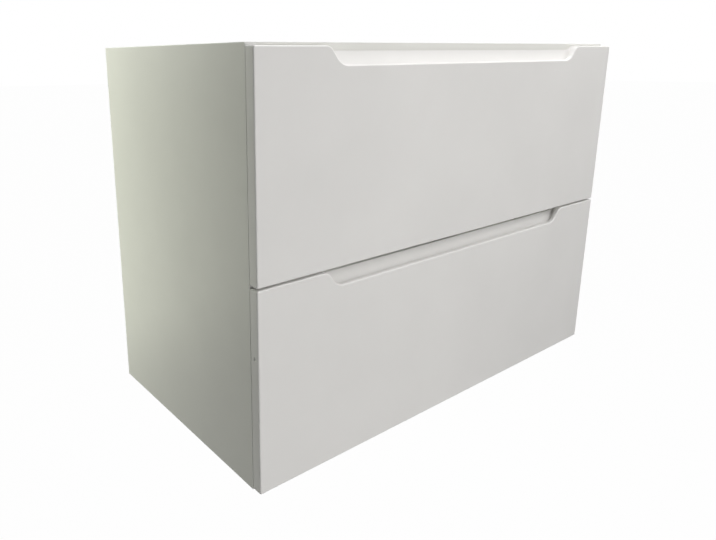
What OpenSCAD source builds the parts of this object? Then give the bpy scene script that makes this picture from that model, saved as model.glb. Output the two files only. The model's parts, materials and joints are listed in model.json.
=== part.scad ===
// Wall-hung bathroom vanity cabinet with two full-width drawers.
// Each drawer front has a finger pull milled into its top edge.
// X runs to the viewer's right, Y from the fronts to the wall, Z up.
// The origin is the middle of the footprint, at the underside of the carcass.

/* [Cabinet] */
// Overall width of the carcass and of the fronts
cab_w = 800; // [700:10:1000]
// Overall height of the carcass
cab_h = 580; // [570:1:640]
// Overall depth, fronts included
cab_d = 415; // [415:1:480]
// Thickness of the side panels, rails and bottom
board_t = 16; // [15:1:19]
// Height of the front rail under the basin
front_rail_h = 60; // [50:1:90]
// Height of the two rear rails
rear_rail_h = 80; // [75:1:80]

/* [Fronts] */
// Thickness of a drawer front
front_t = 16; // [16:1:19]
// Space that the bumpers keep between a front and the carcass
bumper_gap = 1; // [0.8:0.1:3]
// Height of the middle of the gap between the two fronts
seam_z = 289.5; // [280:0.5:300]
// Gap between the two fronts
front_gap = 3; // [2:0.5:5]
// How far the upper front stays below the top of the carcass
top_step = 4; // [2:0.5:10]
// How far the lower front stays above the underside of the carcass
foot_gap = 1; // [0.5:0.5:4]

/* [Finger pull] */
// Width of the pull along the top edge of the front, fillets included
pull_w = 584; // [300:2:600]
// Depth of the pull below the top edge
pull_depth = 23.5; // [21:0.5:28]
// Angle of the two ramps from the horizontal
pull_angle = 52; // [45:1:60]
// Fillet radius at the foot of each ramp
foot_r = 22; // [10:1:24]
// Fillet radius of the shoulder at the top of each ramp
shoulder_r = 14; // [8:1:16]
// Thickness of the lip that the fingers pull on
lip_t = 7.5; // [6:0.5:8]
// Thickness of the skin behind the finger groove
skin_t = 2; // [2:0.5:3]
// Depth of the finger groove below the edge of the lip
groove_h = 3; // [2:0.5:6]
// How far the finger groove runs past the lip's opening at each end
groove_end = 6; // [4:0.5:8]

/* [Drawers] */
// Thickness of the drawer sides
drawer_side_t = 16; // [12:1:16]
// Thickness of the inner fronts and drawer backs
drawer_end_t = 12; // [12:1:16]
// Thickness of the drawer bottoms
drawer_bottom_t = 10; // [8:1:12]
// Height of the upper drawer's sides
upper_side_h = 104; // [90:1:110]
// Height of the lower drawer's sides
lower_side_h = 190; // [140:1:220]
// Outer width of the guard around the drain trap
guard_w = 244; // [200:2:300]
// Depth of the guard from the rear of the drawer
guard_d = 150; // [120:1:180]

/* [Slides] */
// Nominal length of the concealed slides
slide_l = 350; // [340:1:350]
// Height of the upper slides' underside above the carcass underside
upper_slide_z = 312; // [305:1:320]
// Height of the lower slides' underside above the carcass underside
lower_slide_z = 26; // [22:1:34]
// Travel of a drawer, used to place the roller cages
travel = 340; // [320:1:340]

/* [Hangers] */
// Height of the edge that each hook hangs on, from the top of the carcass
hook_drop = 118; // [112:1:130]
// Distance between the two screw holes of a wall plate
plate_hole_pitch = 32; // [25:1:40]
// Radius of the screw holes in the wall plates
plate_hole_r = 3.5; // [3:0.25:4]

/* [Hidden] */
$fn = 48;
// Small overlap of a cutting shape past the face that it cuts
cut = 1;

// Main planes of the carcass
inner_x = cab_w / 2 - board_t;
front_y = -cab_d / 2;
back_y = cab_d / 2;
front_back_y = front_y + front_t;
carcass_y = front_back_y + bumper_gap;

// Cam fittings: distance from the board's end to the lock, and their radii and depths
cam_reach = 34;
cam_r = 7.5;
cam_depth = 12.5;
cam_fit = 0.1;
cam_rod_r = 3.5;
cam_rod_bore_r = 3.75;
cam_rod_l = 26.3;
cam_thread_r = 2.5;
cam_thread_l = 11;
dowel_r = 4;
dowel_fit = 0.05;
dowel_in_side = 12;
dowel_in_board = 18;

// Heights of the fittings in the rails, measured from each rail's lower edge
rail_cam_share = 0.3;
rail_dowel_share = 0.75;
// Places of the fittings along the bottom panel, from its front and rear ends
bottom_cam_y = 60;
bottom_dowel_y = 110;

// Slide parts: cross-sections as [from, to] inward from the side panel and up from the base
slide_t = 1.5;
rail_t = 1.2;
slide_setback = 3;
base_flange_z = [0, 30];
base_floor_s = [0, 45];
base_lip_z = [0, 6];
middle_s = [25, 41];
middle_z = [2.5, 9.5];
runner_s = [22, 44];
runner_z = [7, 17];
middle_shortfall = 20;
slide_y0 = carcass_y + slide_setback;
slide_y1 = slide_y0 + slide_l;
slide_screw_y = [37, 165, 293];
slide_screw_z = 22;

// Roller cages
cage_l = 120;
cage_side_gap = 0.5;
cage_plate_t = 1.4;
roller_pitch = 20;
roller_gap = 0.4;
roller_l = 10;
base_cage_share = 0.25;
runner_cage_share = 0.75;
// Middle of each cage at rest, so that it stays between its two members over the travel
base_cage_y = slide_y0 + (slide_l - middle_shortfall - travel / 2) / 2 + travel * base_cage_share;
runner_cage_y = slide_y0 + (slide_l - 1.5 * travel) / 2 + travel * runner_cage_share;

// Rear tongue and pin that tie a runner to the drawer's back
tongue_s = [30, 36];
tongue_t = 1.5;
tongue_h = 30;
pin_r = 2.9;
pin_bore_r = 3.1;
pin_l = 10;
pin_z = 25;

// Euro screws: shank, head, and how deep they go into a side panel
euro_r = 3;
euro_head_r = 4;
euro_head_h = 1.3;
euro_depth = 11;

// Drawer box
drawer_gap = 4;
side_lift = 4;
drawer_s = [drawer_gap, drawer_gap + drawer_side_t];
box_x = inner_x - drawer_s[1];
box_y0 = front_back_y;
box_y1 = box_y0 + slide_l;
inner_front_back_y = box_y0 + drawer_end_t;
drawer_back_y = box_y1 - drawer_end_t;
guard_t = 3;
guard_r = 30;
guard_y0 = box_y1 - guard_d;

// Screws of the drawers
front_screw_x = 280;
front_screw_rows = [0.3, 0.75];
front_screw_r = 2;
front_screw_bore_r = 2.25;
front_screw_head_r = 4;
front_screw_head_h = 2;
front_screw_grip = 10;
box_screw_r = 2;
box_screw_head_r = 3.5;
box_screw_head_h = 3;
box_screw_l = 40;
box_screw_rows = [0.35, 0.8];

// Bumpers
bumper_r = 4;
bumper_t = bumper_gap - 0.2;
bumper_inset = 40;

// Clips and their levers, under the drawer bottom, measured as the slides are
clip_s = [46, 82];
clip_l = 62;
clip_y0 = inner_front_back_y + 1;
clip_plate_t = 3;
clip_wall_t = 2;
clip_wall_h = 9;
// Clip screws as [s, distance from the clip's front end]
clip_screw_spots = [[52, 6], [74, 54]];
clip_screw_r = 1.75;
clip_screw_l = 8;
clip_screw_head_r = 3.5;
clip_screw_head_h = 1.5;
lever_s = 66;
lever_y = clip_y0 + 30;
lever_pin_r = 2;
lever_bore_r = 2.06;
lever_hub_r = 5;
lever_arm_w = 6;
lever_arm_l = 26;
lever_nose_l = 20.8;
lever_pad_w = 14;
lever_pad_l = 7;
lever_t = 4;
lever_gap = 0.5;
lever_cap_r = 3.4;
lever_cap_t = 1;

// Hanger case, hook and wall plate
hook_z = cab_h - hook_drop;
case_s = [0, 20];
case_y = [112, 172];
case_z = [hook_z - 30, hook_z + 38];
slot_s = [6, 14];
slot_z = [hook_z - 12, hook_z + 30];
slot_wall = 4;
case_screw_y = [122, 162];
case_screw_up = 8;
adjuster_r = 3.9;
adjuster_bore_r = 4;
adjuster_proud = 3;
adjuster_up = [-2, 20];
hook_s = [8.5, 11.5];
hook_shank_h = 18;
hook_start_y = case_y[0] + 6;
hook_nose_y = [201.2, 204.4];
hook_nose_h = 15;
plate_t = 2.5;
plate_s = [2, 62];
plate_lip_y = 198;
plate_lip_h = 20.5;
plate_h = 82;
plate_mid_s = 32;
plate_hole_top = 36;

// Corner brackets that the basin is screwed to
bracket_t = 2;
bracket_l = 30;
bracket_reach = 32;
bracket_drop = 1.5;
bracket_hole_s = 18;
bracket_hole_r = 2.75;
bracket_front_y = carcass_y + board_t + 6;
bracket_rear_y = back_y - board_t - 6 - bracket_l;

// Wall screw holes in the lower rear rail
rail_hole_x = 300;
rail_hole_r = 3.5;

// Colours
front_white = "whitesmoke";
carcass_white = "honeydew";
box_white = "white";
plastic_grey = "lightgray";
steel = "silver";

// Heights of the fronts and slides; up is true for the upper drawer
function front_lo(up) = up ? seam_z + front_gap / 2 : foot_gap;
function front_hi(up) = up ? cab_h - top_step : seam_z - front_gap / 2;
function slide_z(up) = up ? upper_slide_z : lower_slide_z;
function floor_z(up) = slide_z(up) + runner_z[1];
function side_top(up) = slide_z(up) + side_lift + (up ? upper_side_h : lower_side_h);
function end_row_z(up, share) = floor_z(up) + share * (side_top(up) - floor_z(up));

// Cam and dowel places as [y, z]; a rail's are on its middle plane
function rail_spot(y, z0, h, share) = [y, z0 + h * share];
bottom_cams = [
    [carcass_y + bottom_cam_y, board_t / 2],
    [back_y - bottom_cam_y, board_t / 2]
];
bottom_dowels = [
    [carcass_y + bottom_dowel_y, board_t / 2],
    [back_y - bottom_dowel_y, board_t / 2]
];
front_rail_y = carcass_y + board_t / 2;
rear_rail_y = back_y - board_t / 2;
front_rail_z = cab_h - front_rail_h;
top_rear_z = cab_h - rear_rail_h;
front_rail_cam = rail_spot(front_rail_y, front_rail_z, front_rail_h, rail_cam_share);
front_rail_dowel = rail_spot(front_rail_y, front_rail_z, front_rail_h, rail_dowel_share);
top_rear_cam = rail_spot(rear_rail_y, top_rear_z, rear_rail_h, rail_cam_share);
top_rear_dowel = rail_spot(rear_rail_y, top_rear_z, rear_rail_h, rail_dowel_share);
bottom_rear_cam = rail_spot(rear_rail_y, board_t, rear_rail_h, rail_cam_share);
bottom_rear_dowel = rail_spot(rear_rail_y, board_t, rear_rail_h, rail_dowel_share);
rail_cams = [front_rail_cam, top_rear_cam, bottom_rear_cam];
all_cams = concat(bottom_cams, rail_cams);
all_dowels = concat(bottom_dowels, [front_rail_dowel, top_rear_dowel, bottom_rear_dowel]);

// A board from its [from, to] ranges along X, Y and Z
module board(x, y, z) {
    translate([x[0], y[0], z[0]])
        cube([x[1] - x[0], y[1] - y[0], z[1] - z[0]]);
}

// A board on the right half, its X range measured inward from the side panel
module inboard(s, y, z) {
    board([inner_x - s[1], inner_x - s[0]], y, z);
}

// Children drawn for the right half are mirrored for the left one
module on_side(left) {
    mirror([left ? 1 : 0, 0, 0])
        children();
}

module both_sides() {
    for (left = [false, true]) {
        on_side(left)
            children();
    }
}

// A rod along X, from one X to another, on the right half
module x_rod(x0, x1, r) {
    translate([x0, 0, 0])
        rotate([0, 90, 0])
            cylinder(h = x1 - x0, r = r);
}

// A rod along Y
module y_rod(y0, y1, r) {
    translate([0, y1, 0])
        rotate([90, 0, 0])
            cylinder(h = y1 - y0, r = r);
}

module at_spot(spot) {
    translate([0, spot[0], spot[1]])
        children();
}

// ---- Carcass ----

module at_slide_screws() {
    for (up = [false, true]) {
        for (y = slide_screw_y) {
            translate([0, slide_y0 + y, slide_z(up) + slide_screw_z])
                children();
        }
    }
}

module at_case_screws() {
    for (y = case_screw_y) {
        translate([0, y, case_z[0] + case_screw_up])
            children();
    }
}

// Right side panel with the holes for cams, dowels, slides and hanger case
module side_panel(left) {
    color(carcass_white)
        on_side(left)
            difference() {
                board([inner_x, cab_w / 2], [carcass_y, back_y], [0, cab_h]);
                for (spot = all_cams) {
                    at_spot(spot)
                        x_rod(inner_x - cut, inner_x + cam_thread_l, cam_thread_r);
                }
                for (spot = all_dowels) {
                    at_spot(spot)
                        x_rod(inner_x - cut, inner_x + dowel_in_side, dowel_r);
                }
                at_slide_screws()
                    x_rod(inner_x - cut, inner_x + euro_depth, euro_r);
                at_case_screws()
                    x_rod(inner_x - cut, inner_x + euro_depth, euro_r);
            }
}

// Bores in both ends of a board that lies between the side panels
module end_bores(cams, dowels) {
    both_sides() {
        for (spot = cams) {
            at_spot(spot)
                x_rod(inner_x - cam_reach, inner_x + cut, cam_rod_bore_r);
        }
        for (spot = dowels) {
            at_spot(spot)
                x_rod(inner_x - dowel_in_board, inner_x + cut, dowel_r);
        }
    }
}

// The lock's cylinder, or its pocket, standing on the far side of the board's middle plane
module cam_body(r, from, to) {
    translate([inner_x - cam_reach, 0, from])
        cylinder(h = to - from, r = r);
}

// Turns a cam that opens upwards so that it opens towards -Y or +Y
module cam_facing(dir) {
    rotate([dir == "front" ? 90 : (dir == "rear" ? -90 : 0), 0, 0])
        children();
}

pocket_from = board_t / 2 - cam_depth;

module bottom_panel() {
    color(carcass_white)
        difference() {
            board([-inner_x, inner_x], [carcass_y, back_y], [0, board_t]);
            end_bores(bottom_cams, bottom_dowels);
            both_sides() {
                for (spot = bottom_cams) {
                    at_spot(spot)
                        cam_body(cam_r, pocket_from, board_t / 2 + cut);
                }
            }
        }
}

// An upright rail between the side panels; its cam pockets open towards dir
module rail(y_mid, z0, h, cam, dowel, dir) {
    difference() {
        board([-inner_x, inner_x], [y_mid - board_t / 2, y_mid + board_t / 2], [z0, z0 + h]);
        end_bores([cam], [dowel]);
        both_sides() {
            at_spot(cam)
                cam_facing(dir)
                    cam_body(cam_r, pocket_from, board_t / 2 + cut);
        }
    }
}

module top_front_rail() {
    color(carcass_white)
        rail(front_rail_y, front_rail_z, front_rail_h, front_rail_cam, front_rail_dowel, "rear");
}

module top_rear_rail() {
    color(carcass_white)
        rail(rear_rail_y, top_rear_z, rear_rail_h, top_rear_cam, top_rear_dowel, "front");
}

// Lower rear rail, with two holes for wall screws that keep the cabinet from lifting
module bottom_rear_rail() {
    color(carcass_white)
        difference() {
            rail(rear_rail_y, board_t, rear_rail_h, bottom_rear_cam, bottom_rear_dowel, "front");
            for (x = [-rail_hole_x, rail_hole_x]) {
                translate([x, 0, board_t + rear_rail_h / 2])
                    y_rod(back_y - board_t - cut, back_y + cut, rail_hole_r);
            }
        }
}

module cam_bolts() {
    color(steel)
        both_sides() {
            for (spot = all_cams) {
                at_spot(spot) {
                    x_rod(inner_x - cam_rod_l, inner_x, cam_rod_r);
                    x_rod(inner_x - cut, inner_x + cam_thread_l, cam_thread_r);
                }
            }
        }
}

// One lock with the cross slot that a screwdriver turns
module cam_lock() {
    slot_w = 1.6;
    slot_l = 9;
    slot_depth = 2;
    difference() {
        cam_body(cam_r - cam_fit, pocket_from + cam_fit, board_t / 2);
        translate([inner_x - cam_reach, 0, board_t / 2]) {
            cube([slot_l, slot_w, 2 * slot_depth], center = true);
            cube([slot_w, slot_l, 2 * slot_depth], center = true);
        }
    }
}

module cam_locks() {
    color(steel)
        both_sides() {
            for (spot = bottom_cams) {
                at_spot(spot)
                    cam_lock();
            }
            at_spot(front_rail_cam)
                cam_facing("rear")
                    cam_lock();
            for (spot = [top_rear_cam, bottom_rear_cam]) {
                at_spot(spot)
                    cam_facing("front")
                        cam_lock();
            }
        }
}

module wood_dowels() {
    color("burlywood")
        both_sides() {
            for (spot = all_dowels) {
                at_spot(spot)
                    x_rod(inner_x - dowel_in_board + cut, inner_x + dowel_in_side,
                        dowel_r - dowel_fit);
            }
        }
}

// Steel angle with a hole for the screw that holds the basin
module corner_bracket(y0) {
    top = cab_h - bracket_drop;
    difference() {
        union() {
            inboard([0, bracket_reach], [y0, y0 + bracket_l], [top - bracket_t, top]);
            inboard([0, bracket_t], [y0, y0 + bracket_l], [top - bracket_l, top]);
        }
        translate([inner_x - bracket_hole_s, y0 + bracket_l / 2, top - bracket_t - cut])
            cylinder(h = bracket_t + 2 * cut, r = bracket_hole_r);
    }
}

module corner_brackets() {
    color(steel)
        both_sides() {
            corner_bracket(bracket_front_y);
            corner_bracket(bracket_rear_y);
        }
}

// ---- Slides ----

// Fixed member: a flange on the side panel, a floor under the drawer and an inner lip
module slide_base(up, left) {
    z = slide_z(up);
    y = [slide_y0, slide_y1];
    color(steel)
        on_side(left)
            difference() {
                union() {
                    inboard([0, slide_t], y, base_flange_z + [z, z]);
                    inboard(base_floor_s, y, [z, z + slide_t]);
                    inboard([base_floor_s[1] - slide_t, base_floor_s[1]], y, base_lip_z + [z, z]);
                }
                for (dy = slide_screw_y) {
                    translate([0, slide_y0 + dy, z + slide_screw_z])
                        x_rod(inner_x - slide_t - cut, inner_x + cut, euro_r + cam_fit);
                }
            }
}

// A sheet channel that is open at the bottom
module channel(s, y, z) {
    inboard(s, y, [z[1] - rail_t, z[1]]);
    inboard([s[0], s[0] + rail_t], y, z);
    inboard([s[1] - rail_t, s[1]], y, z);
}

// Middle member, which moves half as far as the drawer
module slide_middle(up, left) {
    z = slide_z(up);
    color(steel)
        on_side(left)
            channel(middle_s, [slide_y0, slide_y1 - middle_shortfall], middle_z + [z, z]);
}

// Drawer member, with the rear tongue and pin that enter the drawer's back
module slide_runner(up, left) {
    z = slide_z(up);
    tongue_y = box_y1 + 2;
    tongue_mid = (tongue_s[0] + tongue_s[1]) / 2;
    color(steel)
        on_side(left) {
            channel(runner_s, [slide_y0, tongue_y + tongue_t], runner_z + [z, z]);
            inboard(tongue_s, [tongue_y, tongue_y + tongue_t],
                [z + runner_z[1] - rail_t, z + tongue_h]);
            translate([inner_x - tongue_mid, 0, z + pin_z])
                y_rod(tongue_y - pin_l, tongue_y + tongue_t / 2, pin_r);
        }
}

// Nylon cages with steel rollers: s, z and y_mid place the space that a cage rolls in
module roller_cage(s, z, y_mid) {
    s_mid = (s[0] + s[1]) / 2;
    z_mid = (z[0] + z[1]) / 2;
    roller_r = (z[1] - z[0]) / 2 - roller_gap;
    half_plate = cage_plate_t / 2;
    inboard([s[0] + cage_side_gap, s[1] - cage_side_gap],
        [y_mid - cage_l / 2, y_mid + cage_l / 2], [z_mid - half_plate, z_mid + half_plate]);
    for (y = [roller_pitch / 2 : roller_pitch : cage_l - roller_pitch / 2]) {
        translate([0, y_mid - cage_l / 2 + y, z_mid])
            x_rod(inner_x - s_mid - roller_l / 2, inner_x - s_mid + roller_l / 2, roller_r);
    }
}

// Cages between the fixed members and the middle members
module base_rollers(up) {
    z = slide_z(up);
    color(plastic_grey)
        both_sides()
            roller_cage([middle_s[0] + rail_t, middle_s[1] - rail_t],
                [z + slide_t, z + middle_z[1] - rail_t], base_cage_y);
}

// Cages between the middle members and the drawer members
module runner_rollers(up) {
    z = slide_z(up);
    color(plastic_grey)
        both_sides()
            roller_cage([runner_s[0] + rail_t, runner_s[1] - rail_t],
                [z + middle_z[1], z + runner_z[1] - rail_t], runner_cage_y);
}

// A euro screw in the side panel whose head bears on a part as thick as grip
module euro_screw(grip) {
    x_rod(inner_x - grip, inner_x + euro_depth, euro_r);
    x_rod(inner_x - grip - euro_head_h, inner_x - grip, euro_head_r);
}

module cabinet_screws() {
    color(steel)
        both_sides() {
            at_slide_screws()
                euro_screw(slide_t);
            at_case_screws()
                euro_screw(case_s[1]);
        }
}

// ---- Hangers ----

// Case on the side panel, open at the rear, that carries the hook
module hanger_case(left) {
    s_mid = (slot_s[0] + slot_s[1]) / 2;
    color(steel)
        on_side(left)
            difference() {
                inboard(case_s, case_y, case_z);
                inboard(slot_s, [case_y[0] + slot_wall, case_y[1] + cut], slot_z);
                at_case_screws()
                    x_rod(inner_x - case_s[1] - cut, inner_x + cut, euro_r + cam_fit);
                for (up = adjuster_up) {
                    translate([inner_x - s_mid, 0, hook_z + up])
                        y_rod(case_y[0] - cut, case_y[0] + slot_wall + cut, adjuster_bore_r);
                }
            }
}

// Screw with a cross slot in its head that sets the hook's height or reach
module adjusting_screws() {
    s_mid = (slot_s[0] + slot_s[1]) / 2;
    slot_w = 1.2;
    slot_l = 5.5;
    slot_depth = 1.5;
    color("gold")
        both_sides() {
            for (up = adjuster_up) {
                translate([inner_x - s_mid, 0, hook_z + up])
                    difference() {
                        y_rod(case_y[0] - adjuster_proud, case_y[0] + slot_wall, adjuster_r);
                        translate([0, case_y[0] - adjuster_proud, 0]) {
                            cube([slot_l, 2 * slot_depth, slot_w], center = true);
                            cube([slot_w, 2 * slot_depth, slot_l], center = true);
                        }
                    }
            }
        }
}

// Steel hook: a shank in the case and a nose behind the wall plate's lip
module hanger_hook(left) {
    color(steel)
        on_side(left) {
            inboard(hook_s, [hook_start_y, hook_nose_y[1]], [hook_z, hook_z + hook_shank_h]);
            inboard(hook_s, hook_nose_y, [hook_z - hook_nose_h, hook_z + cut]);
        }
}

// Plate on the wall, stepped forward into the lip that the hook hangs on
module wall_plate(left) {
    shelf_z = hook_z - plate_lip_h;
    color(steel)
        on_side(left)
            difference() {
                union() {
                    inboard(plate_s, [plate_lip_y, plate_lip_y + plate_t], [shelf_z, hook_z]);
                    inboard(plate_s, [plate_lip_y, back_y], [shelf_z, shelf_z + plate_t]);
                    inboard(plate_s, [back_y - plate_t, back_y],
                        [hook_z - plate_h, shelf_z + plate_t]);
                }
                for (down = [plate_hole_top, plate_hole_top + plate_hole_pitch]) {
                    translate([inner_x - plate_mid_s, 0, hook_z - down])
                        y_rod(back_y - plate_t - cut, back_y + cut, plate_hole_r);
                }
            }
}

// ---- Drawer fronts ----

arc_steps = 8;

// Half width of the pull where its straight ramp would meet the top edge, set out by n
function ramp_top_x(n) = pull_w / 2 - shoulder_r * tan(pull_angle / 2) + n / sin(pull_angle);

// Points of an arc around [cx, cz], from angle a0 to a1
function arc(cx, cz, r, a0, a1) = [
    for (i = [0 : arc_steps])
        let (a = a0 + (a1 - a0) * i / arc_steps)
            [cx + r * cos(a), cz + r * sin(a)]
];

// Right half of the lower corner of an opening that is depth deep, with its ramps set out by n
function pull_foot(depth, n) =
    let (
        r = foot_r + n,
        foot_x = ramp_top_x(n) - depth / tan(pull_angle)
    )
    arc(foot_x - r * tan(pull_angle / 2), r - depth, r, -90, -90 + pull_angle);

// Right half of the rounded shoulder where the ramp runs out into the top edge
function pull_shoulder() =
    arc(pull_w / 2, -shoulder_r, shoulder_r, 90 + pull_angle, 90);

function mirrored(points) = [
    for (i = [len(points) - 1 : -1 : 0])
        [-points[i][0], points[i][1]]
];

// Outline of the opening in the lip; z = 0 is the top edge of the front
module lip_outline() {
    half = concat(pull_foot(pull_depth, 0), pull_shoulder(), [[pull_w / 2, cut]]);
    polygon(concat(half, mirrored(half)));
}

// Outline of the space behind the lip, n deeper than the lip's edge; it is open far above the top edge
module groove_outline(n) {
    open_z = 16;
    foot = pull_foot(pull_depth + n, groove_end);
    last = foot[len(foot) - 1];
    half = concat(foot, [[last[0] + (open_z - last[1]) / tan(pull_angle), open_z]]);
    polygon(concat(half, mirrored(half)));
}

// Depth of the groove below the lip's edge, at a share of the space behind the lip: a round bottom,
// then a cove that leans back up to the top edge of the rear skin
function groove_n(share) =
    share < 0.2
        ? groove_h - 0.75 * pow(1 - share / 0.2, 2)
        : groove_h - (pull_depth + groove_h + 0.5) * pow((share - 0.2) / 0.8, 1.5);

groove_shares = [0, 0.1, 0.2, 0.36, 0.52, 0.68, 0.84, 1];

// Turns an outline in X and Z into a layer from y0 to y1
module layer(y0, y1) {
    translate([0, y1, 0])
        rotate([90, 0, 0])
            linear_extrude(y1 - y0)
                children();
}

module finger_pull() {
    groove_w = front_t - lip_t - skin_t;
    slice = 0.01;
    layer(-cut, lip_t + slice)
        lip_outline();
    for (i = [0 : len(groove_shares) - 2]) {
        hull() {
            for (share = [groove_shares[i], groove_shares[i + 1]]) {
                layer(lip_t + share * groove_w, lip_t + share * groove_w + slice)
                    groove_outline(groove_n(share));
            }
        }
    }
}

module at_front_screws(up) {
    for (x = [-front_screw_x, front_screw_x]) {
        for (share = front_screw_rows) {
            translate([x, 0, end_row_z(up, share)])
                children();
        }
    }
}

module drawer_front(up) {
    color(front_white)
        difference() {
            board([-cab_w / 2, cab_w / 2], [front_y, front_back_y], [front_lo(up), front_hi(up)]);
            translate([0, front_y, front_hi(up)])
                finger_pull();
            at_front_screws(up)
                y_rod(front_back_y - front_screw_grip, front_back_y + cut, front_screw_r);
        }
}

// ---- Drawer boxes ----

module at_box_screws(up) {
    for (y = [box_y0 + drawer_end_t / 2, box_y1 - drawer_end_t / 2]) {
        for (share = box_screw_rows) {
            translate([0, y, end_row_z(up, share)])
                children();
        }
    }
}

module inner_front(up) {
    color(box_white)
        difference() {
            board([-box_x, box_x], [box_y0, inner_front_back_y], [floor_z(up), side_top(up)]);
            at_front_screws(up)
                y_rod(box_y0 - cut, inner_front_back_y + cut, front_screw_bore_r);
            both_sides() {
                at_box_screws(up)
                    x_rod(inner_x - drawer_s[0] - box_screw_l, inner_x, box_screw_r);
            }
        }
}

module drawer_side(up, left) {
    head_x = inner_x - drawer_s[0];
    color(box_white)
        on_side(left)
            difference() {
                inboard(drawer_s, [box_y0, box_y1], [slide_z(up) + side_lift, side_top(up)]);
                at_box_screws(up) {
                    x_rod(head_x - box_screw_head_h, head_x + cut, box_screw_head_r);
                    x_rod(box_x - cut, head_x, box_screw_r);
                }
            }
}

// Bores in a drawer's back for the box screws and for the runners' pins
module back_bores(up) {
    tongue_mid = (tongue_s[0] + tongue_s[1]) / 2;
    both_sides() {
        at_box_screws(up)
            x_rod(inner_x - drawer_s[0] - box_screw_l, inner_x, box_screw_r);
        translate([inner_x - tongue_mid, 0, slide_z(up) + pin_z])
            y_rod(drawer_back_y - cut, box_y1 + cut, pin_bore_r);
    }
}

// Half of the upper drawer's back, beside the guard
module upper_back(left) {
    color(box_white)
        difference() {
            on_side(left)
                board([guard_w / 2, box_x], [drawer_back_y, box_y1],
                    [floor_z(true), side_top(true)]);
            back_bores(true);
        }
}

module lower_back() {
    color(box_white)
        difference() {
            board([-box_x, box_x], [drawer_back_y, box_y1], [floor_z(false), side_top(false)]);
            back_bores(false);
        }
}

module at_clip_screws() {
    for (spot = clip_screw_spots) {
        translate([inner_x - spot[0], clip_y0 + spot[1], 0])
            children();
    }
}

module bottom_screw_bores(up) {
    both_sides() {
        at_clip_screws()
            translate([0, 0, floor_z(up) - cut])
                cylinder(h = clip_screw_l - clip_plate_t + cut, r = clip_screw_r);
    }
}

// Outline of the guard in plan: open at the rear, rounded at its two front corners
module guard_outline(inset) {
    half = guard_w / 2 - inset;
    r = guard_r - inset;
    corner_y = guard_y0 + guard_r;
    rear = box_y1 + (inset > 0 ? cut : 0);
    translate([-half, corner_y])
        square([2 * half, rear - corner_y]);
    translate([-half + r, guard_y0 + inset])
        square([2 * (half - r), r + cut]);
    for (x = [-half + r, half - r]) {
        translate([x, corner_y])
            circle(r = r);
    }
}

module upper_bottom() {
    color(box_white)
        difference() {
            board([-box_x, box_x], [inner_front_back_y, drawer_back_y],
                [floor_z(true), floor_z(true) + drawer_bottom_t]);
            translate([0, 0, floor_z(true) - cut])
                linear_extrude(drawer_bottom_t + 2 * cut)
                    guard_outline(0);
            bottom_screw_bores(true);
        }
}

module lower_bottom() {
    color(box_white)
        difference() {
            board([-box_x, box_x], [inner_front_back_y, drawer_back_y],
                [floor_z(false), floor_z(false) + drawer_bottom_t]);
            bottom_screw_bores(false);
        }
}

// Moulded wall that keeps the drawer clear of the drain trap
module siphon_guard() {
    color(plastic_grey)
        translate([0, 0, floor_z(true)])
            linear_extrude(side_top(true) - floor_z(true))
                difference() {
                    guard_outline(0);
                    guard_outline(guard_t);
                }
}

module drawer_screws(up) {
    head_x = inner_x - drawer_s[0];
    color(steel) {
        at_front_screws(up) {
            y_rod(front_back_y - front_screw_grip, inner_front_back_y, front_screw_r);
            y_rod(inner_front_back_y, inner_front_back_y + front_screw_head_h,
                front_screw_head_r);
        }
        both_sides() {
            at_box_screws(up) {
                x_rod(head_x - box_screw_l, head_x, box_screw_r);
                x_rod(head_x - box_screw_head_h, head_x, box_screw_head_r);
            }
            at_clip_screws() {
                translate([0, 0, floor_z(up) - clip_plate_t])
                    cylinder(h = clip_screw_l, r = clip_screw_r);
                translate([0, 0, floor_z(up) - clip_plate_t - clip_screw_head_h])
                    cylinder(h = clip_screw_head_h, r = clip_screw_head_r);
            }
        }
    }
}

module bumpers(up) {
    color(plastic_grey)
        both_sides() {
            for (z = [front_lo(up) + bumper_inset, front_hi(up) - bumper_inset]) {
                translate([inner_x + board_t / 2, 0, z])
                    y_rod(front_back_y, front_back_y + bumper_t, bumper_r);
            }
        }
}

// Plastic clip under the drawer bottom, with the pin that its lever turns on
module clip(up, left) {
    z = floor_z(up);
    y = [clip_y0, clip_y0 + clip_l];
    plate_z = z - clip_plate_t;
    cap_z = plate_z - lever_gap - lever_t - lever_gap - lever_cap_t;
    color(plastic_grey)
        on_side(left) {
            difference() {
                inboard(clip_s, y, [plate_z, z]);
                at_clip_screws()
                    translate([0, 0, plate_z - cut])
                        cylinder(h = clip_plate_t + 2 * cut, r = clip_screw_r);
            }
            inboard([clip_s[1] - clip_wall_t, clip_s[1]], [y[1] - clip_l / 2, y[1]],
                [z - clip_wall_h, z]);
            inboard([clip_s[0], clip_s[1]], [y[1] - clip_wall_t, y[1]], [z - clip_wall_h, z]);
            translate([inner_x - lever_s, lever_y, 0]) {
                translate([0, 0, cap_z])
                    cylinder(h = plate_z - cap_z + clip_plate_t / 2, r = lever_pin_r);
                translate([0, 0, cap_z])
                    cylinder(h = lever_cap_t, r = lever_cap_r);
            }
        }
}

// Sprung lever that frees the drawer from its runner when it is pressed inwards
module lever(up, left) {
    z0 = floor_z(up) - clip_plate_t - lever_gap - lever_t;
    half_arm = lever_arm_w / 2;
    color("dimgray")
        on_side(left)
            translate([inner_x - lever_s, lever_y, z0])
                linear_extrude(lever_t)
                    difference() {
                        union() {
                            circle(r = lever_hub_r);
                            translate([-half_arm, -lever_arm_l])
                                square([lever_arm_w, lever_arm_l]);
                            translate([-lever_pad_w / 2, -lever_arm_l])
                                square([lever_pad_w, lever_pad_l]);
                            translate([0, -half_arm])
                                square([lever_nose_l, lever_arm_w]);
                        }
                        circle(r = lever_bore_r);
                    }
}

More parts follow.
